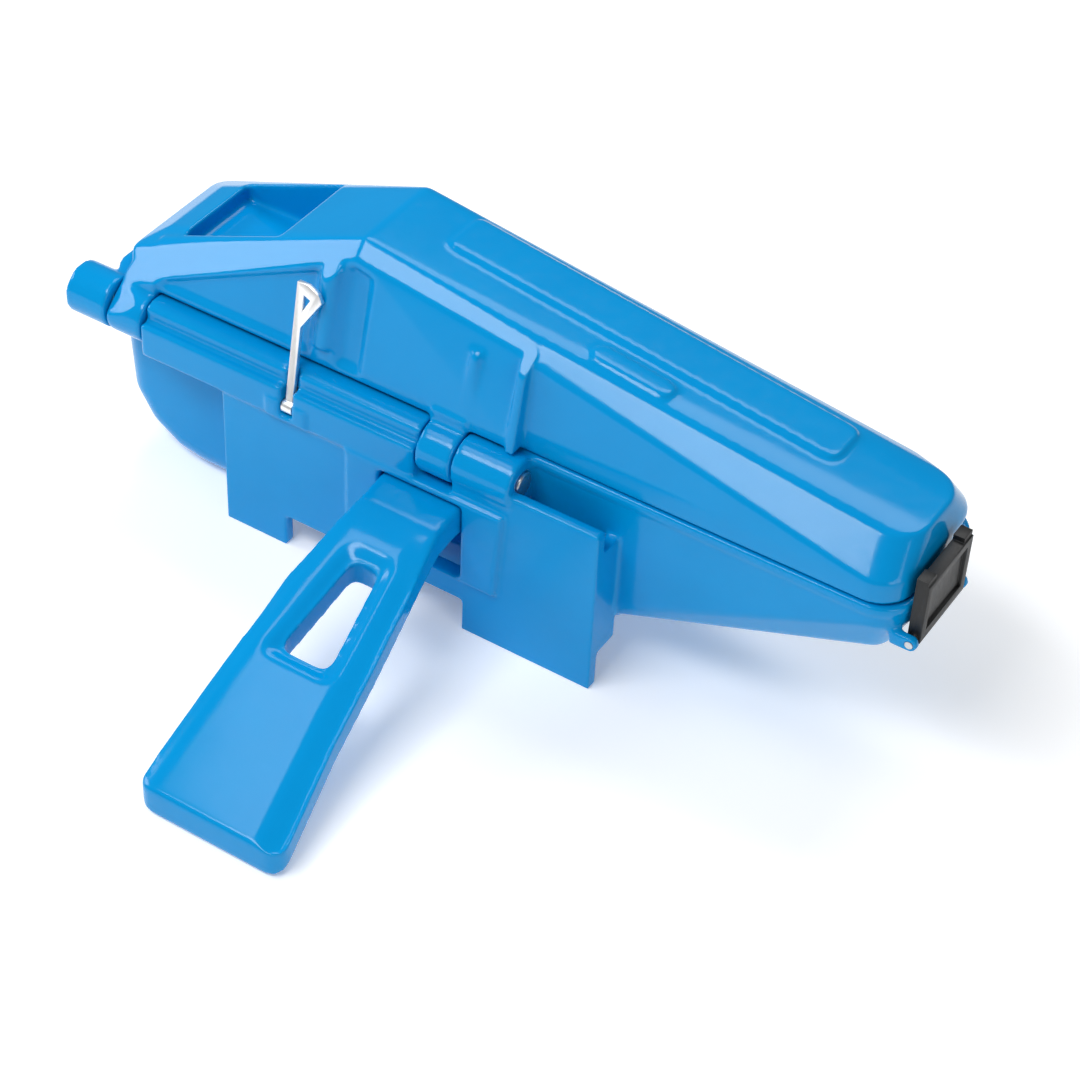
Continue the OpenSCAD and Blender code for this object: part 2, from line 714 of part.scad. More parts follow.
module handle() {
    place() color(blue) difference() {
        union() {
            intersection() {
                translate([0, 0, ground_z]) linear_extrude(height = hinge_h) handle_outline();
                translate([neck_x - tip_w, 0, 0]) rotate([90, 0, 90])
                    linear_extrude(height = 2 * tip_w) handle_profile();
            }
            translate([neck_x - neck_w / 2, handle_py, handle_pz]) rod_x(0, neck_w, handle_t / 2);
        }
        translate([neck_x, handle_py, handle_pz]) rod_x(-neck_w, neck_w, handle_pin_r + run);
        finger_slot();
    }
}

// Finger slot, narrow towards the neck
finger_y1 = -0.3 * handle_reach;
module finger_slot() {
    y0 = finger_y1 - finger_len;
    c = neck_x + 0.4;
    r = 2.6;
    translate([0, 0, ground_z]) linear_extrude(height = hinge_h) polygon(concat(
        arc_pts([c + 0.3 * finger_w - r, finger_y1 - r], r, 0, 90),
        arc_pts([c - 0.3 * finger_w + r, finger_y1 - r], r, 90, 180),
        arc_pts([c - finger_w / 2 + r, y0 + r], r, 180, 270),
        arc_pts([c + finger_w / 2 - r, y0 + r], r, 270, 360)));
}

module handle_pin() {
    place() color(steel) translate([0, handle_py, handle_pz])
        rod_x(handle_ear_x0 + snug, handle_ear_x1 + clip_t + over, handle_pin_r);
}

// Push-on ring that keeps the handle's pin from sliding out
module handle_pin_clip() {
    place() color(steel) translate([handle_ear_x1 + clip_gap, handle_py, handle_pz]) difference() {
        rod_x(0, clip_t, handle_pin_r + clip_w);
        rod_x(-over, clip_t + over, handle_pin_r);
    }
}

module retaining_arm() {
    head_z = arm_z + arm_h - arm_head_len;
    place() color("whitesmoke") translate([0, arm_y, arm_z]) rotate([-arm_lean, 0, 0])
        translate([0, -arm_y, -arm_z]) difference() {
        union() {
            translate([0, arm_y, arm_z])
                rod_x(arm_x - arm_eye_len / 2, arm_x + arm_eye_len / 2, arm_eye_r);
            plate_y(arm_y - arm_t / 2, arm_y + arm_t / 2) polygon([
                [arm_x - arm_w / 2, arm_z + 1], [arm_x + arm_w / 2, arm_z + 1],
                [arm_x + arm_w / 2, head_z], [arm_x + arm_head - arm_w / 2, head_z + 8.5],
                [arm_x + arm_head - arm_w, arm_z + arm_h - 1.5], [arm_x + arm_w, arm_z + arm_h],
                [arm_x - arm_w / 2, arm_z + arm_h]]);
        }
        translate([0, arm_y, arm_z])
            rod_x(arm_x - arm_eye_len, arm_x + arm_eye_len, arm_pin_r + run);
        plate_y(arm_y - arm_t, arm_y + arm_t) polygon([
            [arm_x + arm_w / 2, head_z + 4.5], [arm_x + arm_w * 1.4, head_z + 8.2],
            [arm_x + arm_w / 2, head_z + 9]]);
    }
}

module arm_pin() {
    place() color(steel) translate([0, arm_y, arm_z]) rod_x(arm_boss_x0 + boss_end + snug, arm_boss_x1 - gap, arm_pin_r);
}

module latch() {
    place() color(black) difference() {
        union() {
            block([latch_x0, latch_y0, latch_pz], [latch_x1, latch_y1, latch_z1]);
            translate([latch_px, 0, latch_pz]) rod_y(latch_y0, latch_y1, latch_t / 2);
            for (y = [latch_y0, latch_y1 - latch_tab_w])
                block([latch_x0, y, latch_z1 - over], [latch_x1 - gap, y + latch_tab_w, latch_z1 + latch_tab]);
        }
        translate([latch_px, 0, latch_pz]) rod_y(latch_y0 - over, latch_y1 + over, latch_pin_r + run);
        block([latch_x1 - latch_recess, latch_y0 + latch_rim, latch_pz + latch_rim],
            [latch_x1 + over, latch_y1 - latch_rim, latch_z1 - latch_rim]);
    }
}

module latch_pin() {
    place() color(steel) translate([latch_px, 0, latch_pz])
        rod_y(latch_y0 - gap - latch_ear_w + snug, latch_y1 + gap + latch_ear_w - snug, latch_pin_r);
}

// Frame of the lower brushes: two cheeks on feet, tied together under the wheels
module brush_cartridge() {
    x0 = low_x[0] - cheek_rear;
    x1 = low_x[2] + cheek_front;
    z1 = low_z + hub_r + cheek_edge;
    z0 = low_z - hub_r - cheek_edge;
    foot_z = ground_z + belly_r - gap;
    place() color(dark_blue) difference() {
        union() {
            for (y = [cheek_near, cheek_far - cheek_t])
                plate_y(y, y + cheek_t) polygon([
                    [x0, z1], [x0, foot_z], [x0 + foot_w, foot_z], [x0 + foot_w, z0],
                    [x1 - foot_w, z0], [x1 - foot_w, foot_z], [x1, foot_z], [x1, z1]]);
            for (x = [x0, x1 - foot_w]) {
                block([x, cheek_near, foot_z], [x + foot_w, cheek_far, foot_z + bar_t]);
                block([x, cheek_near, floor_z + seat_gap], [x + foot_w, far_y - belly_r - gap, foot_z + tiny]);
            }
            for (x = [low_x[0] + low_pitch / 2, low_x[1] + low_pitch / 2])
                block([x - bar_t / 2, cheek_near, z0], [x + bar_t / 2, cheek_far, z0 + bar_t]);
        }
        for (x = low_x) translate([x, 0, low_z]) rod_y(cheek_near - over, cheek_far + over, axle_r);
    }
}

module low_axle(i) {
    place() color(steel) translate([low_x[i], 0, low_z]) rod_y(cheek_near + snug, cheek_far - snug, axle_r);
}

module up_axle(i) {
    place() color(steel) translate([up_x[i], 0, up_z])
        rod_y(chain_y - up_rib_in - up_rib_t, far_y - wall - snug, axle_r);
}

// Hub of a brush wheel at x, z: a sleeve with two flanges
module hub(x, z, w) {
    place() color(dark_blue) translate([x, chain_y, z]) difference() {
        union() {
            rod_y(-w / 2, w / 2, hub_r - 1);
            for (y = [-w / 2, w / 2 - 1]) rod_y(y, y + 1, hub_r);
        }
        rod_y(-w, w, axle_r + run);
    }
}

// Ring of bristles between the hub's flanges
module bristles(x, z, w, r) {
    place() color("white") translate([x, chain_y, z]) difference() {
        rod_y(-w / 2 + 1, w / 2 - 1, r);
        rod_y(-w, w, hub_r - 1);
    }
}

// Tray of the lower sponge, on two posts in the nose of the base
module low_sponge_tray() {
    y0 = chain_y - sponge_w / 2 - snug;
    y1 = chain_y + sponge_w / 2 + snug;
    place() color(dark_blue) intersection() {
        union() {
            difference() {
                block([sponge_x0 - snug - tray_t, y0 - tray_t, tray_z - tray_t],
                    [sponge_x1 + snug + tray_t, min(y1 + tray_t, far_y - wall - snug), tray_z + 3]);
                block([sponge_x0 - snug, y0, tray_z], [sponge_x1 + snug, y1, tray_z + 3 + over]);
            }
            for (x = [sponge_x0 + 6, sponge_x1 - 14])
                translate([x, chain_y - 4, ground_z]) cylinder(h = tray_z - ground_z - tray_t / 2, r = 3);
        }
        nose_form(wall + seat_gap, over);
    }
}

module low_sponge() {
    place() color("gold")
        block([sponge_x0, chain_y - sponge_w / 2, tray_z], [sponge_x1, chain_y + sponge_w / 2, chain_z0 - seat_gap]);
}

// Holder of the upper sponge: a sloping channel under the lid
module up_sponge_holder() {
    lip = sponge_w / 2 + snug;
    place() color(dark_blue) difference() {
        plate_y(chain_y - lip - holder_t, chain_y + lip + holder_t) polygon([
            [sponge_x0 - 2, holder_top(sponge_x0 - 2)], [sponge_x0 - 2, holder_top(sponge_x0 - 2) - 4],
            [sponge_x1 + 2, holder_top(sponge_x1 + 2) - 4], [sponge_x1 + 2, holder_top(sponge_x1 + 2)]]);
        plate_y(chain_y - lip, chain_y + lip) polygon([
            [sponge_x0 - 3, holder_top(sponge_x0 - 3) - holder_t], [sponge_x0 - 3, 0],
            [sponge_x1 + 3, 0], [sponge_x1 + 3, holder_top(sponge_x1 + 3) - holder_t]]);
        for (x = holder_screw_x)
            translate([x, chain_y, holder_top(x) - 2 * holder_t]) cylinder(h = 4 * holder_t, r = screw_r + 0.1);
    }
}

module up_sponge() {
    place() color("gold") difference() {
        plate_y(chain_y - sponge_w / 2, chain_y + sponge_w / 2) polygon([
            [sponge_x0, chain_z1 + seat_gap], [sponge_x1, chain_z1 + seat_gap],
            [sponge_x1, holder_top(sponge_x1) - holder_t], [sponge_x0, holder_top(sponge_x0) - holder_t]]);
        for (x = holder_screw_x)
            translate([x, chain_y, holder_top(x) - holder_t - head_drop - 2]) cylinder(h = 4, r = 2.6);
    }
}

module magnet() {
    place() color("dimgray") block([magnet_x - magnet_len / 2, magnet_y - magnet_w / 2, magnet_z],
        [magnet_x + magnet_len / 2, magnet_y + magnet_w / 2, magnet_z + magnet_t]);
}

// Cover over the magnet with a screw flange at each end
module magnet_cover() {
    place() color(dark_blue) difference() {
        union() {
            block([magnet_x - magnet_len / 2 - cover_t - snug, magnet_y - magnet_w / 2 - cover_t - snug, magnet_z],
                [magnet_x + magnet_len / 2 + cover_t + snug, magnet_y + magnet_w / 2 + cover_t + snug,
                    magnet_z + magnet_t + cover_t + 0.1]);
            block([magnet_x - magnet_len / 2 - 9, magnet_y - 4, magnet_z],
                [magnet_x + magnet_len / 2 + 9, magnet_y + 4, magnet_z + cover_t]);
        }
        block([magnet_x - magnet_len / 2 - snug, magnet_y - magnet_w / 2 - snug, magnet_z - over],
            [magnet_x + magnet_len / 2 + snug, magnet_y + magnet_w / 2 + snug, magnet_z + magnet_t + 0.1]);
        for (s = [-1, 1]) translate([magnet_x + s * (magnet_len / 2 + 5.5), magnet_y, magnet_z - over])
            cylinder(h = 4 * over, r = screw_r + 0.1);
    }
}

// Screw with a round head on top, its head seated at z
module screw(len) {
    translate([0, 0, -len]) cylinder(h = len, r = screw_r);
    cylinder(h = 1.3, r = 2 * screw_r);
}

module magnet_screws() {
    place() color(steel) for (s = [-1, 1])
        translate([magnet_x + s * (magnet_len / 2 + 5.5), magnet_y, magnet_z + cover_t])
            screw(cover_t + snug);
}

module holder_screws() {
    place() color(steel) for (x = holder_screw_x)
        translate([x, chain_y, holder_top(x) - holder_t - head_drop]) mirror([0, 0, 1])
            screw(holder_t + head_drop + screw_bite);
}

base_housing();
lid_housing();
hinge_pin();
handle();
handle_pin();
handle_pin_clip();
retaining_arm();
arm_pin();
latch();
latch_pin();
brush_cartridge();
low_axle(0);  // low_axle_1
low_axle(1);  // low_axle_2
low_axle(2);  // low_axle_3
hub(low_x[0], low_z, low_wheel_w);  // low_hub_1
hub(low_x[1], low_z, low_wheel_w);  // low_hub_2
hub(low_x[2], low_z, low_wheel_w);  // low_hub_3
bristles(low_x[0], low_z, low_wheel_w, low_r);  // low_bristles_1
bristles(low_x[1], low_z, low_wheel_w, low_r);  // low_bristles_2
bristles(low_x[2], low_z, low_wheel_w, low_r);  // low_bristles_3
up_axle(0);  // up_axle_1
up_axle(1);  // up_axle_2
hub(up_x[0], up_z, up_wheel_w);  // up_hub_1
hub(up_x[1], up_z, up_wheel_w);  // up_hub_2
bristles(up_x[0], up_z, up_wheel_w, up_r);  // up_bristles_1
bristles(up_x[1], up_z, up_wheel_w, up_r);  // up_bristles_2
low_sponge_tray();
low_sponge();
up_sponge_holder();
up_sponge();
magnet();
magnet_cover();
magnet_screws();
holder_screws();
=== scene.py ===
# %% [markdown]
# # A chain cleaner for bicycles
# The tool is a hinged case of glossy blue plastic. A bicycle chain lies between two rows of brush
# wheels inside it, and a handle folds out in front. The solids come from CAD and arrive here as
# a fixed frame. This lesson dresses them: soft moulded edges, real bristles and foam, worn
# metal and plastic, and a plain studio to look at them in.

# %% Load the frame
import random
from math import cos, pi, radians, sin, sqrt

import bmesh
import bpy
from mathutils import Matrix, Vector, noise


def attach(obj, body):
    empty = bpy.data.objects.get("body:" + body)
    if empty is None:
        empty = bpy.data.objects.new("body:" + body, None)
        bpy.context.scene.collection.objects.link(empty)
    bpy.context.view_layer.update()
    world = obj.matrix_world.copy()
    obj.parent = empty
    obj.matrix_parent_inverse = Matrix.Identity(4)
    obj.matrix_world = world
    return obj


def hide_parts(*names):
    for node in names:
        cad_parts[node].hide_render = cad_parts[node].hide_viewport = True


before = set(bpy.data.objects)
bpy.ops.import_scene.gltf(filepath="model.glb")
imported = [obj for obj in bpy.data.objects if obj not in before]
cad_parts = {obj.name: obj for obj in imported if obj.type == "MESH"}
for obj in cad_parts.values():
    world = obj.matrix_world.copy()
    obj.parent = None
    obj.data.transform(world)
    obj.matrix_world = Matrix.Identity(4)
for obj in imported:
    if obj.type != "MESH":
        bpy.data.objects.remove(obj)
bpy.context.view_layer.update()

# %% [markdown]
# ## Places on the tool
# The frame counts metres from the middle of the right foot. The maker of a hinged tool measures
# from its hinge, so lengths here are in mm, and places count from the right end of the hinge axis.
# Every new object rides on one of the bodies, so it moves when a joint moves.

# %% Units, places and objects
MM = 0.001
FOOT_X, FOOT_Y, FOOT_Z = 6.25, -4.35, -50.0  # the frame's origin, seen from the hinge's end


def at(x, y, z):
    """A point in mm from the right end of the hinge axis, as metres in the shared frame."""
    return Vector(((x - FOOT_X) * MM, (y - FOOT_Y) * MM, (z - FOOT_Z) * MM))


def hinge_place(point):
    """A point of the shared frame as x, y and z in mm from the hinge's end."""
    return point.x / MM + FOOT_X, point.y / MM + FOOT_Y, point.z / MM + FOOT_Z


def add_object(name, mesh, body):
    """Links a new object with this mesh and lets it ride on a body."""
    piece = bpy.data.objects.new(name, mesh)
    bpy.context.scene.collection.objects.link(piece)
    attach(piece, body)
    return piece


# %% [markdown]
# ## The camera
# A photograph fixes the camera: parallel edges of the case give its turn and tilt, and the way
# they converge gives the lens. It stands 42 degrees above the floor, to the right of the handle.

# %% Camera
TURN, TILT, ROLL = radians(30.66), radians(42.13), radians(3.07)
back = Vector((sin(TURN) * cos(TILT), -cos(TURN) * cos(TILT), sin(TILT)))
right = Vector((cos(TURN), sin(TURN), 0))
up = back.cross(right)
right, up = cos(ROLL) * right + sin(ROLL) * up, cos(ROLL) * up - sin(ROLL) * right
axes = Matrix((right, up, back)).transposed().to_4x4()

lens = bpy.data.cameras.new("studio_camera")
lens.lens = 92.57
lens.sensor_width = 36
lens.clip_start = 0.05
camera = bpy.data.objects.new("studio_camera", lens)
camera.matrix_world = Matrix.Translation(at(258.6, -426.9, 433.8)) @ axes
bpy.context.scene.collection.objects.link(camera)
bpy.context.scene.camera = camera
print("lens:", round(lens.lens, 2), "mm")

# %% [markdown]
# ## Building a material
# A material is a small graph of nodes. One helper adds any kind of node, sets it up and joins it,
# so each recipe below reads as a list of what the surface has. Colours are picked in sRGB, as a
# paint chart gives them, and the shader needs them linear.

# %% Colour and node helpers
def srgb(code):
    """A hex colour such as 0095DC as linear red, green, blue and a full alpha."""
    parts = [int(code[i : i + 2], 16) / 255 for i in (0, 2, 4)]
    return (*[p / 12.92 if p < 0.04045 else ((p + 0.055) / 1.055) ** 2.4 for p in parts], 1.0)


def fill(material, socket, value):
    """Gives a socket a value, or a link from another node's socket."""
    if isinstance(value, bpy.types.NodeSocket):
        material.node_tree.links.new(value, socket)
    else:
        socket.default_value = value


def add(material, kind, settings=None, sockets=None):
    """Adds a node, sets its properties, and fills its sockets."""
    node = material.node_tree.nodes.new(kind)
    for name, value in (settings or {}).items():
        setattr(node, name, value)
    for name, value in (sockets or {}).items():
        fill(material, node.inputs[name], value)
    return node


def new_material(name):
    """An empty material, and its object coordinates in metres."""
    material = bpy.data.materials.new(name)
    material.use_nodes = True
    material.node_tree.nodes.clear()
    return material, add(material, "ShaderNodeTexCoord").outputs["Object"]


def finish_surface(material, sockets):
    """Joins a Principled shader with these sockets to the output."""
    shader = add(material, "ShaderNodeBsdfPrincipled", None, sockets)
    add(material, "ShaderNodeOutputMaterial", None, {"Surface": shader.outputs["BSDF"]})
    return material


# %% [markdown]
# Noise has no size of its own, so a helper turns a size in mm into a scale. A noise value stays
# mostly between a quarter and three quarters, and stretching that part uses the whole of a range.

# %% Texture helpers
NOISE_LOW, NOISE_HIGH = 0.25, 0.75  # where nearly all values of a noise texture lie


def per_mm(size):
    """A texture scale for features of this size in mm, on coordinates in metres."""
    return 1 / (size * MM)


def noise_of(material, place, size, detail=2.0, roughness=0.5):
    """A noise value with features of this size in mm."""
    sockets = {"Vector": place, "Scale": per_mm(size), "Detail": detail, "Roughness": roughness}
    return add(material, "ShaderNodeTexNoise", None, sockets).outputs["Fac"]


def stretched(material, place, scale):
    """Coordinates multiplied along x, y and z, which squeezes a texture along them."""
    sockets = {"Vector": place, "Scale": scale}
    return add(material, "ShaderNodeMapping", None, sockets).outputs["Vector"]


def range_of(material, value, low, high):
    """Turns a noise value into a value between low and high."""
    span = {"From Min": NOISE_LOW, "From Max": NOISE_HIGH, "To Min": low, "To Max": high}
    return add(material, "ShaderNodeMapRange", None, {"Value": value, **span}).outputs["Result"]


def mix_colour(material, factor, first, second):
    """Mixes two colours by a factor."""
    node = add(material, "ShaderNodeMix", {"data_type": "RGBA"})
    for socket, value in zip((0, 6, 7), (factor, first, second)):
        fill(material, node.inputs[socket], value)
    return node.outputs[2]


def bump_of(material, height, strength, distance, below=None):
    """A bump of this height in mm, laid over another bump if one is given."""
    sockets = {"Height": height, "Strength": strength, "Distance": distance * MM}
    if below is not None:
        sockets["Normal"] = below
    return add(material, "ShaderNodeBump", None, sockets).outputs["Normal"]


# %% [markdown]
# ## Blue case plastic
# The case is polypropylene, injection moulded in a polished tool and coloured right through. It is
# glossy but not a mirror: the skin has a faint ripple a few mm wide where it shrank on cooling,
# and handling leaves it a little duller in patches. A colour that varies, a patchy roughness and
# two bumps give it.

# %% Glossy moulded polypropylene
def moulded_blue(name, colour, dark, rough_low, rough_high):
    """Polypropylene between two blues, with a range of roughness."""
    material, place = new_material(name)
    patches = noise_of(material, place, 22, 4.0, 0.55)
    scuffs = noise_of(material, place, 3, 6.0, 0.7)
    ripple = noise_of(material, place, 9, 1.0)
    skin = noise_of(material, place, 0.7)
    wave = bump_of(material, ripple, 0.25, 0.12)
    depth = range_of(material, patches, 0.0, 0.35)
    return finish_surface(
        material,
        {
            "Base Color": mix_colour(material, depth, srgb(colour), srgb(dark)),
            "Roughness": range_of(material, scuffs, rough_low, rough_high),
            "IOR": 1.49,
            "Specular IOR Level": 0.24,
            "Normal": bump_of(material, skin, 0.12, 0.02, wave),
        },
    )


case_blue = moulded_blue("polypropylene_blue_polished", "0094D7", "0086C9", 0.08, 0.16)
inner_blue = moulded_blue("polypropylene_blue_matt", "0069AE", "005A99", 0.42, 0.55)
print("plastics:", case_blue.name, inner_blue.name)

# %% [markdown]
# ## Black latch plastic
# The latch is nylon with a satin skin. Its edges rub against fingers and the case, and the worn
# nylon there turns grey. The bevelled edges get a second, greyer material of their own: partly
# that wear, and partly a painted highlight along the edges.

# %% Satin nylon, and its edge material of wear and painted highlight
def nylon(name, colour, scuffed, rough_low, rough_high, amount):
    """Black nylon with fine upright scratches, greyer by an amount where it is scuffed."""
    material, place = new_material(name)
    scratches = noise_of(material, stretched(material, place, (3.0, 1.0, 0.35)), 0.9, 7.0, 0.72)
    grain = noise_of(material, place, 0.4, 3.0)
    wear = range_of(material, scratches, 0.0, amount)
    return finish_surface(
        material,
        {
            "Base Color": mix_colour(material, wear, srgb(colour), srgb(scuffed)),
            "Roughness": range_of(material, scratches, rough_low, rough_high),
            "IOR": 1.53,
            "Normal": bump_of(material, grain, 0.25, 0.04),
        },
    )


latch_black = nylon("nylon_black_satin", "050607", "15171A", 0.42, 0.58, 0.3)
# The edge material is a lighter grey: partly rubbed wear, partly a painted highlight along the
# bevels.
latch_edge_highlight_and_wear = nylon("nylon_black_edge_highlight_and_wear", "1E2022", "4A4D50", 0.4, 0.6, 0.6)
print("latch:", latch_black.name, latch_edge_highlight_and_wear.name)

# %% [markdown]
# ## Metal
# The pins are turned steel: the cutter leaves fine rings round the axis. The arm is stamped from
# sheet and bright zinc plated, so it is the lightest thing on the tool, and nearly white under a
# softbox. A metal's colour is in its reflection, so roughness and bump do most of the work.

# %% Steel and zinc
def metal(name, colour, dull, scale, rough_low, rough_high, bump):
    """Metal between two tones, with marks squeezed or stretched by a scale along x, y and z."""
    material, place = new_material(name)
    lines = noise_of(material, stretched(material, place, scale), 0.5, 5.0, 0.6)
    tone = range_of(material, lines, 0.0, 1.0)
    return finish_surface(
        material,
        {
            "Base Color": mix_colour(material, tone, srgb(colour), srgb(dull)),
            "Metallic": 1.0,
            "Roughness": range_of(material, lines, rough_low, rough_high),
            "Normal": bump_of(material, lines, bump, 0.02),
        },
    )


pin_steel = metal("steel_turned", "DADBDC", "B9BBBD", (6.0, 1.0, 1.0), 0.24, 0.4, 0.3)
arm_zinc = metal("steel_bright_zinc", "FFFFFF", "EEEFF0", (1.0, 1.0, 0.12), 0.34, 0.46, 0.06)
magnet_grey = metal("ferrite_sintered", "5A5A5C", "444446", (1.0, 1.0, 1.0), 0.55, 0.7, 0.6)
print("metals:", pin_steel.name, arm_zinc.name, magnet_grey.name)

# %% [markdown]
# ## Nylon filament and foam
# Brush filament is clear nylon that looks white in a bundle, and light that gets in makes it look
# soft. The wiping foam is open-cell polyurethane: its pores are about 1 mm wide, and painted shade
# darkens them inside.

# %% Filament and foam
filament, place = new_material("nylon_filament")
tone = noise_of(filament, place, 2)
finish_surface(
    filament,
    {
        "Base Color": mix_colour(filament, tone, srgb("F2F1EC"), srgb("D9DAD4")),
        "Roughness": range_of(filament, tone, 0.3, 0.42),
        "IOR": 1.53,
        "Subsurface Weight": 0.2,
        "Subsurface Radius": (0.6 * MM, 0.6 * MM, 0.5 * MM),
        "Subsurface Scale": 1.0,
    },
)

foam_yellow, place = new_material("polyurethane_foam")
cells = add(
    foam_yellow, "ShaderNodeTexVoronoi", None, {"Vector": place, "Scale": per_mm(1.1)}
).outputs["Distance"]
dust = noise_of(foam_yellow, place, 6, 4.0)
skin_tone = mix_colour(foam_yellow, dust, srgb("E8C560"), srgb("D9B04A"))
# Painted shade: each foam cell is darker in its middle, as shade inside a pore.
pore_shade = range_of(foam_yellow, cells, 0.0, 0.8)
finish_surface(
    foam_yellow,
    {
        "Base Color": mix_colour(foam_yellow, pore_shade, srgb("B98B24"), skin_tone),
        "Roughness": 0.9,
        "IOR": 1.5,
        "Normal": bump_of(foam_yellow, cells, 0.8, 0.4),
    },
)
print("soft:", filament.name, foam_yellow.name)

# %% [markdown]
# ## Soft moulded edges
# No moulded part has a sharp edge: the tool is cut with round cutters, and plastic can't fill
# a knife edge. Bevelling a shell this busy edge by edge goes wrong where small faces meet. A voxel
# remesh makes one even skin of small squares over the CAD solid instead, and a few rounds of
# smoothing wear every edge and inside corner to about the same small radius.

# %% Helpers for moulded parts
MERGE = 0.002  # points closer than this are one point that the export has split


def merged_copy(node, name):
    """A copy of a CAD node's mesh with its split points merged, ready to be worked on."""
    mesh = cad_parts[node].data.copy()
    mesh.name = name
    work = bmesh.new()
    work.from_mesh(mesh)
    bmesh.ops.remove_doubles(work, verts=work.verts, dist=MERGE * MM)
    work.to_mesh(mesh)
    work.free()
    mesh.materials.clear()
    if mesh.has_custom_normals:
        mesh.normals_split_custom_set([(0, 0, 0)] * len(mesh.loops))
    return mesh


def baked(piece):
    """Replaces a piece's mesh with the result of its modifiers."""
    result = bpy.data.meshes.new_from_object(
        piece.evaluated_get(bpy.context.evaluated_depsgraph_get())
    )
    piece.modifiers.clear()
    piece.data = result
    return result


def skinned(node, body, name, voxel):
    """A copy of a CAD node with a voxel remesh waiting to be baked, the voxel in mm."""
    piece = add_object(name, merged_copy(node, name), body)
    remesh = piece.modifiers.new("skin", "REMESH")
    remesh.mode = "VOXEL"
    remesh.voxel_size = voxel * MM
    return piece


def moulded(node, body, name, material, voxel, passes, carve=None):
    """A soft-edged skin over a CAD node. A carve function may move its points before smoothing."""
    piece = skinned(node, body, name, voxel)
    if carve:
        skin = baked(piece)
        facing = [vertex.normal.copy() for vertex in skin.vertices]
        for vertex, normal in zip(skin.vertices, facing):
            vertex.co = carve(vertex.co.copy(), normal)
    smooth = piece.modifiers.new("soft edges", "SMOOTH")
    smooth.factor = 0.5
    smooth.iterations = passes
    mesh = baked(piece)
    mesh.polygons.foreach_set("use_smooth", [True] * len(mesh.polygons))
    mesh.materials.clear()
    mesh.materials.append(material)
    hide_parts(node)
    print(name, len(mesh.vertices), "points")
    return piece


# %% [markdown]
# ## Chamfers along the near ridges of the lid
# The roof of the lid meets its near wall in a ridge that rises to a peak and falls again, and the
# ridge is cut off by broad flat chamfers that catch the light. Each cut is a plane. Below it, the
# near wall has two shallow sunk fields: a wide one at the rear and a narrow upright channel.

# %% Planes and fields of the lid
PEAK_X, PEAK_Z = -54, 42  # the top of the near ridge
REAR_FALL, FRONT_FALL = 0.437, 0.147  # how steeply the ridge falls to either side of it

# A point on the ridge, the plane's outward direction, how deep the plane lies under the ridge,
# and the stretch along the hinge that it covers.
RIDGE_CUTS = [
    ((PEAK_X, 7.5, PEAK_Z), (-0.275, -0.632, 0.725), 2.5, (-130, -2)),
    ((PEAK_X, 7.5, PEAK_Z), (0.113, -0.63, 0.77), 2.6, (-130, -2)),
    ((PEAK_X, 8.5, PEAK_Z), (0.075, -0.66, 0.75), 1.5, (-2, 84)),
]

WALL_FIELDS = [(-108, -64.5, 1.3), (-54.5, -49.5, 1.7)]  # from x, to x, and the depth
FIELD_FOOT, FIELD_HEAD = 11, 7  # the fields' foot, and their distance under the ridge
FIELD_EDGE = 1.5  # width of the sloping edge round a field
WALL_NEAR, WALL_FAR = 0, 9  # the near wall lies between these places along y
WALL_FACING = -0.85  # and its outer face looks towards -y


def between(value, low, high, soft):
    """1 between low and high, and falling to 0 over the soft distance outside them."""
    return max(0.0, min(1.0, 1 + min(value - low, high - value) / soft))


def lid_chamfers(point, normal):
    """Sinks the fields of the near wall, then moves a point back to the chamfer planes."""
    x, y, z = hinge_place(point)
    if normal.y < WALL_FACING and WALL_NEAR < y < WALL_FAR:
        fall = REAR_FALL * (PEAK_X - x) if x < PEAK_X else FRONT_FALL * (x - PEAK_X)
        inside = between(z, FIELD_FOOT, PEAK_Z - fall - FIELD_HEAD, FIELD_EDGE)
        sink = sum(depth * between(x, low, high, FIELD_EDGE) for low, high, depth in WALL_FIELDS)
        point.y += sink * inside * MM
    for ridge, outward, depth, (start, end) in RIDGE_CUTS:
        if at(start, 0, 0).x < point.x < at(end, 0, 0).x:
            direction = Vector(outward).normalized()
            proud = direction.dot(point - at(*ridge)) + depth * MM
            if proud > 0:
                point -= direction * proud
    return point


# %% [markdown]
# ## Crown and funnel of the handle
# The handle's upper face isn't flat: it falls away towards its long edges, and a wide funnel leads
# into the finger slot. Both are small moves of the skin's upper points, by their distance from an
# edge, so the handle keeps its CAD outline.

# %% The handle's upper face
# Rows of y, the left edge and the right edge.
EDGE_ROWS = [
    (0, -36.5, -13),
    (-16, -36.5, -13),
    (-40.6, -40.8, -9.3),
    (-69.3, -41.2, -5.1),
    (-99, -41, 0),
]
CROWN_START, CROWN_GROWS = -18, 14  # the crown begins here, and is full after this length
RIGHT_FALL, RIGHT_WIDTH = 2.2, 6.5  # drop at the right edge, and how far in it reaches
LEFT_FALL, LEFT_WIDTH = 1.2, 4
FUNNEL_FALL, FUNNEL_WIDTH = 2.0, 3.4
DEEPEST = 3.4  # where an edge and the funnel meet, no point falls further than this
SLOT_X, SLOT_HEAD, SLOT_FOOT = -24.4, -29.7, -55.7  # the slot's middle line and its two ends
SLOT_HALF, SLOT_WIDENS = 4.05, 2.7  # half its width at the head, and how much the foot adds
FACING_UP = 0.5


def edges_at(y):
    """The handle's left and right edge at y, in mm along the hinge axis."""
    for (y0, left0, right0), (y1, left1, right1) in zip(EDGE_ROWS, EDGE_ROWS[1:]):
        if y >= y1:
            part = min(1.0, (y0 - y) / (y0 - y1))
            return left0 + part * (left1 - left0), right0 + part * (right1 - right0)
    return EDGE_ROWS[-1][1:]


def drop(deep, distance, width):
    """A fall that is deep at an edge, and fades to nothing at a width from it."""
    return deep * max(0.0, 1 - distance / width)


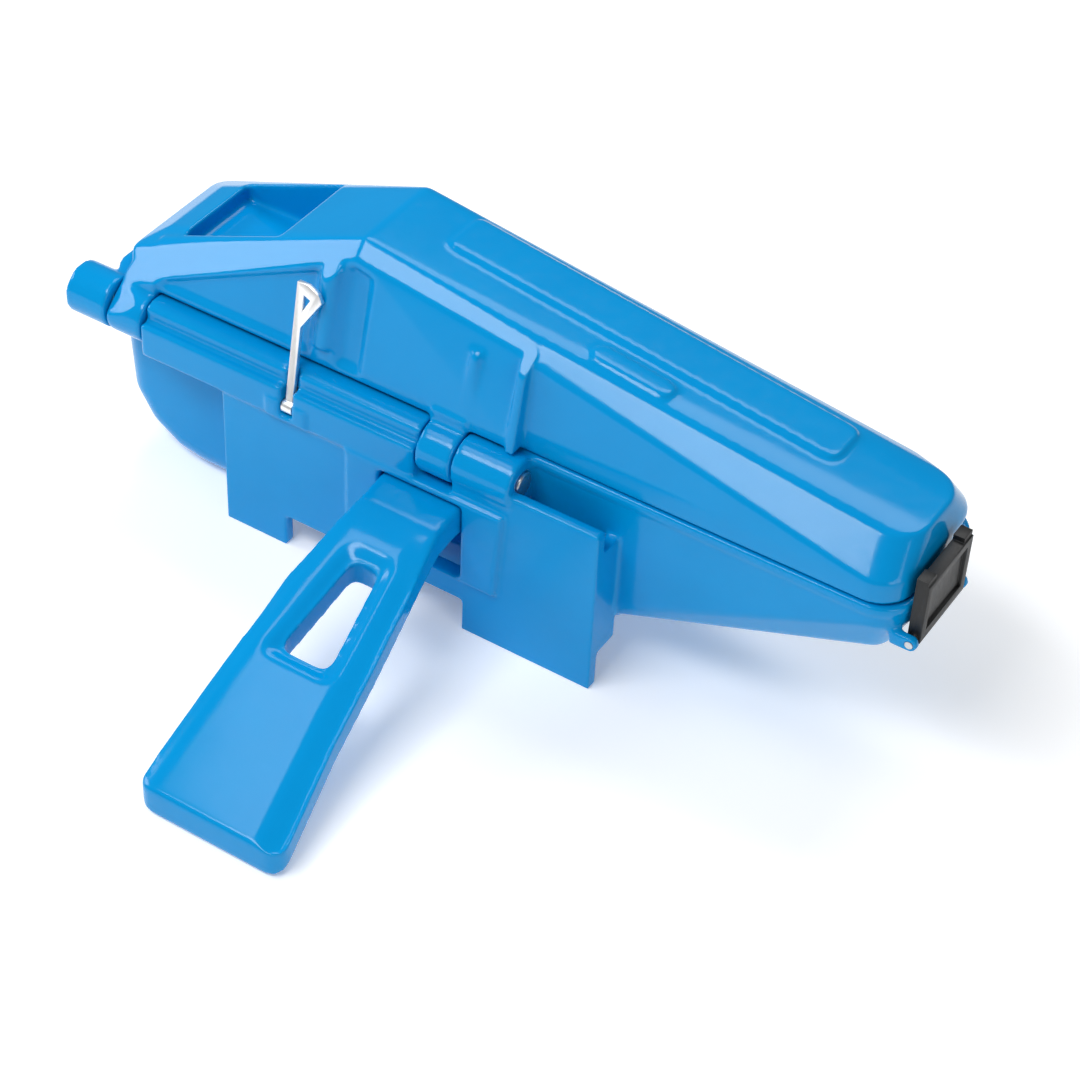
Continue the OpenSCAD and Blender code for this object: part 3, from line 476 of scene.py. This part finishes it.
def handle_crown(point, normal):
    """Lowers a point of the upper face near the edges and round the finger slot."""
    x, y, _ = hinge_place(point)
    if normal.z > FACING_UP and y < CROWN_START:
        left_edge, right_edge = edges_at(y)
        half = SLOT_HALF + SLOT_WIDENS * (SLOT_HEAD - y) / (SLOT_HEAD - SLOT_FOOT)
        out_x = max(0.0, abs(x - SLOT_X) - half)
        out_y = max(0.0, y - SLOT_HEAD, SLOT_FOOT - y)
        fall = (
            drop(RIGHT_FALL, right_edge - x, RIGHT_WIDTH)
            + drop(LEFT_FALL, x - left_edge, LEFT_WIDTH)
            + drop(FUNNEL_FALL, sqrt(out_x**2 + out_y**2), FUNNEL_WIDTH)
        )
        fade = min(1.0, (CROWN_START - y) / CROWN_GROWS)
        point.z -= min(DEEPEST, fall) * fade * MM
    return point


# %% [markdown]
# ## The case and the handle
# The base, the lid and the handle are the three big blue mouldings. A finer skin keeps more of
# the small grooves and takes longer. More rounds of smoothing give the handle its rounder edges.

# %% Skins of the three big mouldings
fine = 0.55
for node, body, name, passes, carve in (
    ("base_housing", "base", "base_moulding", 6, None),
    ("lid_housing", "lid", "lid_moulding", 12, lid_chamfers),
    ("handle", "handle", "handle_moulding", 30, handle_crown),
):
    moulded(node, body, name, case_blue, fine, passes, carve)

# %% [markdown]
# ## Latch, arm and hinge pin
# These are simple enough for real bevels. Every edge sharper than a limit is cut back by a width
# and rounded. The latch's bevels get the edge material: greyer where edges wear first, and lighter
# as a painted highlight.

# %% Bevelled outer parts
FLAT_ANGLE = radians(1)  # faces that meet this flatly become one
SHARP_ANGLE = radians(28)  # edges sharper than this are bevelled
CREASE_ANGLE = radians(35)  # edges sharper than this still look sharp after it


def bevelled(node, body, name, material, width, segments=2, edge_material=None):
    """A copy of a simple CAD node with every sharp edge bevelled by a width in mm."""
    mesh = merged_copy(node, name)
    work = bmesh.new()
    work.from_mesh(mesh)
    bmesh.ops.dissolve_limit(work, angle_limit=FLAT_ANGLE, verts=work.verts, edges=work.edges)
    sharp = [e for e in work.edges if e.is_manifold and e.calc_face_angle(0) > SHARP_ANGLE]
    made = bmesh.ops.bevel(
        work, geom=sharp, offset=width * MM, offset_type="OFFSET", segments=segments,
        profile=0.5, affect="EDGES", clamp_overlap=True, material=-1,
    )
    mesh.materials.append(material)
    if edge_material:
        mesh.materials.append(edge_material)
        for face in made["faces"]:
            face.material_index = 1
    bmesh.ops.recalc_face_normals(work, faces=work.faces)
    work.to_mesh(mesh)
    work.free()
    mesh.shade_smooth()
    mesh.set_sharp_from_angle(angle=CREASE_ANGLE)
    piece = add_object(name, mesh, body)
    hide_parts(node)
    print(name, "bevelled", len(sharp), "edges")
    return piece


# The latch's bevels take the edge material, with its wear and its painted highlight.
latch = bevelled("latch", "latch", "latch_moulding", latch_black, 0.45, 2, latch_edge_highlight_and_wear)
arm = bevelled("retaining_arm", "arm", "arm_stamping", arm_zinc, 0.18)
pin = bevelled("hinge_pin", "base", "hinge_pin_turned", pin_steel, 0.5, 3)

# %% [markdown]
# ## The inner parts
# The brush frame, the sponge tray, the holder and the magnet's cover are small mouldings in a
# duller blue. Their edges are plain, so a bevel is enough. Axles, pins and screws keep their CAD
# shape and only get their metal.

# %% Inner mouldings, axles, screws and magnet
for node, body in (
    ("brush_cartridge", "base"), ("low_sponge_tray", "base"), ("magnet_cover", "base"),
    ("up_sponge_holder", "lid"), ("low_hub_1", "low_wheel_1"), ("low_hub_2", "low_wheel_2"),
    ("low_hub_3", "low_wheel_3"), ("up_hub_1", "up_wheel_1"), ("up_hub_2", "up_wheel_2"),
):
    bevelled(node, body, node + "_moulding", inner_blue, 0.2)


def dress(node, material):
    """Gives a CAD node that stays visible a better material."""
    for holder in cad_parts[node].material_slots:
        holder.material = material


for node in (
    "handle_pin", "handle_pin_clip", "arm_pin", "latch_pin", "low_axle_1", "low_axle_2",
    "low_axle_3", "up_axle_1", "up_axle_2", "magnet_screws", "holder_screws",
):
    dress(node, pin_steel)
dress("magnet", magnet_grey)

# %% [markdown]
# ## Brush wheels
# A brush wheel is a hub with rows of drilled holes, each holding a tuft of nylon filament. The
# filaments fan out a little, and their ends are trimmed to one radius. Each is drawn as a thin
# three-sided spike, about twice as thick as real 0.15 mm filament so that it shows.

# %% Tufts of filament
HUB_RADIUS = 3.2  # where the filaments start
ROWS = (-0.36, -0.12, 0.12, 0.36)  # places of the rows of holes, as parts of the wheel's width
STRANDS = 9  # filaments in a tuft
ROOT_THICK, TIP_THICK = 0.17, 0.13  # half the thickness of a filament at its two ends
CORNERS = (0, 2 * pi / 3, 4 * pi / 3)


def spike(work, low, high):
    """A three-sided spike between two points, open at its low end."""
    along = (high - low).normalized()
    across = along.cross(Vector((0, 1, 0))).normalized()
    other = along.cross(across)
    root, tip = [
        [work.verts.new(point + thick * MM * (cos(a) * across + sin(a) * other)) for a in CORNERS]
        for point, thick in ((low, ROOT_THICK), (high, TIP_THICK))
    ]
    for i, j in ((0, 1), (1, 2), (2, 0)):
        work.faces.new((root[i], root[j], tip[j], tip[i]))
    work.faces.new(tip)


def brush(level, number, centre, reach, width, tufts):
    """The tufts of one wheel, as one mesh round its centre."""
    chance = random.Random(17 * number + (5 if level == "low" else 9))
    work = bmesh.new()
    root = HUB_RADIUS * MM
    for row_number, row in enumerate(ROWS):
        for tuft in range(tufts):
            angle = 2 * pi * (tuft + 0.5 * (row_number % 2)) / tufts
            for _ in range(STRANDS):
                turn = angle + chance.uniform(-0.05, 0.05)
                tip_turn = turn + chance.uniform(-0.07, 0.07)
                side = row * width * MM + chance.uniform(-0.35, 0.35) * MM
                tip_side = side + chance.uniform(-0.5, 0.5) * MM
                end = (reach - chance.uniform(0.02, 0.5)) * MM
                low = centre + Vector((cos(turn) * root, side, sin(turn) * root))
                high = centre + Vector((cos(tip_turn) * end, tip_side, sin(tip_turn) * end))
                spike(work, low, high)
    mesh = bpy.data.meshes.new(f"{level}_tufts_{number}")
    work.to_mesh(mesh)
    work.free()
    mesh.materials.append(filament)
    mesh.shade_smooth()
    piece = add_object(mesh.name, mesh, f"{level}_wheel_{number}")
    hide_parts(f"{level}_bristles_{number}")
    print(mesh.name, len(ROWS) * tufts * STRANDS, "filaments")


for number, x in enumerate((-94, -58, -22), 1):
    brush("low", number, at(x, 36.2, -14.8), 16, 8, 24)
for number, x in enumerate((-62, -36), 1):
    brush("up", number, at(x, 36.2, 20.8), 10, 6, 18)

# %% [markdown]
# ## Wiping sponges
# Cut foam has flat sides covered in open cells. A remeshed block whose points sink in by a cell
# pattern gives the broken edge that a flat box can't.

# %% Foam blocks
FOAM_VOXEL = 0.55
BIG_CELL, SMALL_CELL = 1.6, 0.8  # widths of the two sizes of cells
SMALL_PART = 0.6  # how much the small cells count
CELL_DEPTH, SKIN_DEPTH = 0.55, 0.1  # how far a full cell and the whole skin sink in


def foam(node, body, name):
    """A block of foam in place of a CAD node, with open cells in its faces."""
    piece = skinned(node, body, name, FOAM_VOXEL)
    mesh = baked(piece)
    for vertex in mesh.vertices:
        big = noise.noise(vertex.co * per_mm(BIG_CELL))
        small = noise.noise(vertex.co * per_mm(SMALL_CELL))
        depth = max(0.0, big + SMALL_PART * small) * CELL_DEPTH * MM + SKIN_DEPTH * MM
        vertex.co -= vertex.normal * depth
    mesh.materials.clear()
    mesh.materials.append(foam_yellow)
    mesh.shade_smooth()
    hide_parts(node)
    print(name, len(mesh.vertices), "points")


foam("low_sponge", "base", "low_sponge_foam")
foam("up_sponge", "lid", "up_sponge_foam")

# %% [markdown]
# ## The floor
# The tool stands on a white sweep of paper. White paper in a studio is a little overexposed, and
# a faint glow of its own does the same here.

# %% White sweep
bpy.ops.mesh.primitive_plane_add(size=6, location=(0, 0, 0))
floor = bpy.context.object
floor.name = "white_sweep"
paper, place = new_material("white_paper")
finish_surface(
    paper,
    {
        "Base Color": srgb("FFFFFF"),
        "Roughness": range_of(paper, noise_of(paper, place, 40), 0.7, 0.85),
        "Emission Color": srgb("FFFFFF"),
        "Emission Strength": 0.2,
    },
)
floor.data.materials.append(paper)
print("floor:", floor.name)

# %% [markdown]
# ## The light
# Gloss shows the lights themselves. The front and the left softbox stand where the chamfers of the
# lid mirror them towards the camera, and a weak one overhead puts a band on the handle. The right
# one opens the shadows, and the one behind puts a sheen on the roof.

# %% Softboxes
AIM = (-0.02, -0.02, 0.04)  # the middle of the tool in metres


def softbox(name, place, size, power):
    """A softbox at a place in metres, turned to the middle of the tool, its power in watts."""
    light = bpy.data.lights.new(name, "AREA")
    light.shape = "RECTANGLE"
    light.size, light.size_y = size
    light.energy = power
    lamp = bpy.data.objects.new(name, light)
    lamp.location = place
    lamp.rotation_euler = (Vector(AIM) - Vector(place)).to_track_quat("-Z", "Y").to_euler()
    bpy.context.scene.collection.objects.link(lamp)
    print(name, power, "W")


softbox("softbox_front", (-0.2, -0.49, 0.91), (0.6, 0.25), 5.5)
softbox("softbox_left", (-0.94, -0.25, 0.52), (0.4, 0.3), 3)
softbox("softbox_top", (-0.42, -0.12, 0.95), (0.26, 0.16), 0.55)
softbox("softbox_right", (0.85, -0.35, 0.4), (0.4, 0.4), 1.6)
softbox("softbox_back", (-0.15, 0.6, 1.0), (0.9, 0.4), 5)

# %% [markdown]
# The room's white walls send back a weak even light. The Standard view keeps the blue as strong as
# it was picked.

# %% Room light and view
world = bpy.data.worlds.new("studio_air")
bpy.context.scene.world = world
world.use_nodes = True
room = world.node_tree.nodes["Background"].inputs
room["Color"].default_value = srgb("FAFAFA")
room["Strength"].default_value = 0.17
bpy.context.scene.view_settings.view_transform = "Standard"
